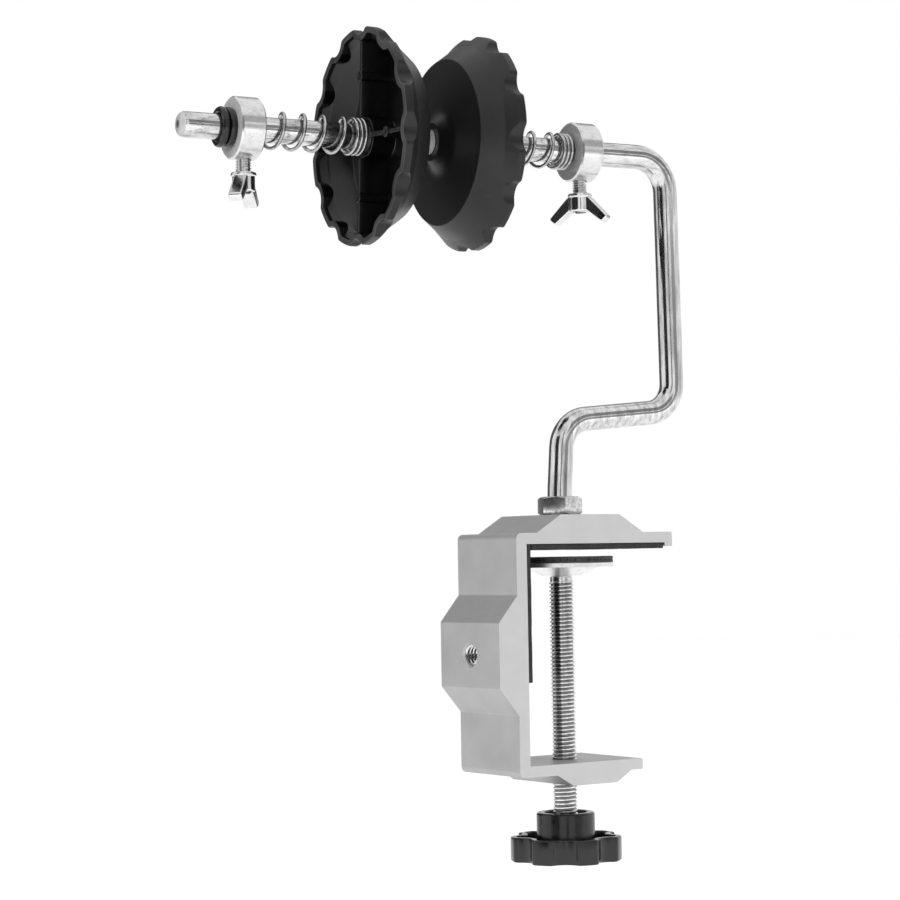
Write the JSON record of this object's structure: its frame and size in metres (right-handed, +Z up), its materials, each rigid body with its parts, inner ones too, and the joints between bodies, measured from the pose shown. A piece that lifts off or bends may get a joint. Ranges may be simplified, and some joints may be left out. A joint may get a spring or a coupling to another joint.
{
  "type": "fishing line winder",
  "caption": "Table-clamp line winder: a bent swivel arm whose axle holds a line spool between two free-spinning spring-loaded scalloped cones, with sliding collars and wing screws.",
  "frame": {"origin": "on the clamp screw's axis, at the underside of the jaw liner, where the table top seats", "axes": "+Z up along the arm's swivel axis, +X from the clamp's web towards the jaw tips, +Y along the extrusion's width, away from the viewer"},
  "size_m": [0.1779, 0.0733, 0.2649],
  "materials": {
    "frame_aluminium": "satin anodised extrusion",
    "liner_rubber": "matt black rubber sheet",
    "chromed_rod": "bright plated bar",
    "nickel_steel": "nickel plated, satin",
    "zinc_thread": "zinc plated thread",
    "spring_steel": "bright spring wire",
    "cone_plastic": "black moulding with a fine grain",
    "ring_rubber": "black rubber, slightly glossy",
    "knob_plastic": "glossy black moulding"
  },
  "bodies": {
    "clamp": {"clamp_frame": "frame_aluminium", "jaw_liner": "liner_rubber", "web_liner": "liner_rubber"},
    "arm": {"arm_rod": "chromed_rod"},
    "nut": {"lock_nut": "zinc_thread"},
    "left_collar_slide": {"left_collar": "nickel_steel", "inner_o_ring": "ring_rubber", "outer_o_ring": "ring_rubber"},
    "left_stud": {"left_wing_stud": "nickel_steel"},
    "left_wing": {"left_wing_head": "nickel_steel"},
    "left_spring_end": {"left_spring": "spring_steel"},
    "left_cone_wheel": {"left_cone": "cone_plastic"},
    "right_collar_slide": {"right_collar": "nickel_steel"},
    "right_stud": {"right_wing_stud": "nickel_steel"},
    "right_wing": {"right_wing_head": "nickel_steel"},
    "right_spring_end": {"right_spring": "spring_steel"},
    "right_cone_wheel": {"right_cone": "cone_plastic"},
    "pressure_foot": {"pressure_disc": "nickel_steel", "pressure_pad": "liner_rubber"},
    "screw_and_knob": {"clamp_screw": "zinc_thread", "knob": "knob_plastic"}
  },
  "joints": [
    {"name": "arm_swivel", "type": "hinge", "parent": "clamp", "child": "arm", "pos_m": [0, 0, 0], "axis": [0, 0, 1], "range_deg": [-180, 180]},
    {"name": "lock_nut_turn", "type": "hinge", "parent": "arm", "child": "nut", "pos_m": [0, 0, 0.0143], "axis": [0, 0, 1], "range_deg": [0, 90]},
    {"name": "left_collar_shift", "type": "slide", "parent": "arm", "child": "left_collar_slide", "axis": [-0.9921, 0.1253, 0], "range_m": [-0.002, 0.009]},
    {"name": "left_screw_travel", "type": "slide", "parent": "left_collar_slide", "child": "left_stud", "axis": [0, 0, -1], "range_m": [0, 0.003]},
    {"name": "left_wing_turn", "type": "hinge", "parent": "left_stud", "child": "left_wing", "pos_m": [-0.10884, 0.01375, 0.114], "axis": [0, 0, -1], "range_deg": [0, 1350.1]},
    {"name": "left_spring_squeeze", "type": "slide", "parent": "left_collar_slide", "child": "left_spring_end", "axis": [-0.9921, 0.1253, 0], "range_m": [0, 0.02], "stiffness_N_per_m": 3200, "deforming": ["left_spring"]},
    {"name": "left_cone_spin", "type": "hinge", "parent": "left_spring_end", "child": "left_cone_wheel", "pos_m": [-0.06141, 0.00776, 0.1306], "axis": [0.9921, -0.1253, 0], "continuous": true},
    {"name": "right_collar_shift", "type": "slide", "parent": "arm", "child": "right_collar_slide", "axis": [0.9921, -0.1253, 0], "range_m": [-0.002, 0.015]},
    {"name": "right_screw_travel", "type": "slide", "parent": "right_collar_slide", "child": "right_stud", "axis": [0, 0, -1], "range_m": [0, 0.003]},
    {"name": "right_wing_turn", "type": "hinge", "parent": "right_stud", "child": "right_wing", "pos_m": [0.00972, -0.00123, 0.114], "axis": [0, 0, -1], "range_deg": [0, 1350.1]},
    {"name": "right_spring_squeeze", "type": "slide", "parent": "right_collar_slide", "child": "right_spring_end", "axis": [0.9921, -0.1253, 0], "range_m": [0, 0.02], "stiffness_N_per_m": 3200, "deforming": ["right_spring"]},
    {"name": "right_cone_spin", "type": "hinge", "parent": "right_spring_end", "child": "right_cone_wheel", "pos_m": [-0.0377, 0.00476, 0.1306], "axis": [0.9921, -0.1253, 0], "continuous": true},
    {"name": "clamp_travel", "type": "slide", "parent": "clamp", "child": "pressure_foot", "axis": [0, 0, -1], "range_m": [-0.00175, 0.058]},
    {"name": "clamp_screw_turn", "type": "hinge", "parent": "pressure_foot", "child": "screw_and_knob", "pos_m": [0, 0, -0.05], "axis": [0, 0, -1], "range_deg": [-504.1, 16704.1]}
  ],
  "couplings": [
    {"joint": "left_wing_turn", "follows": "left_screw_travel", "rad_per_m": 7854},
    {"joint": "right_wing_turn", "follows": "right_screw_travel", "rad_per_m": 7854},
    {"joint": "clamp_screw_turn", "follows": "clamp_travel", "rad_per_m": 5026.5}
  ]
}
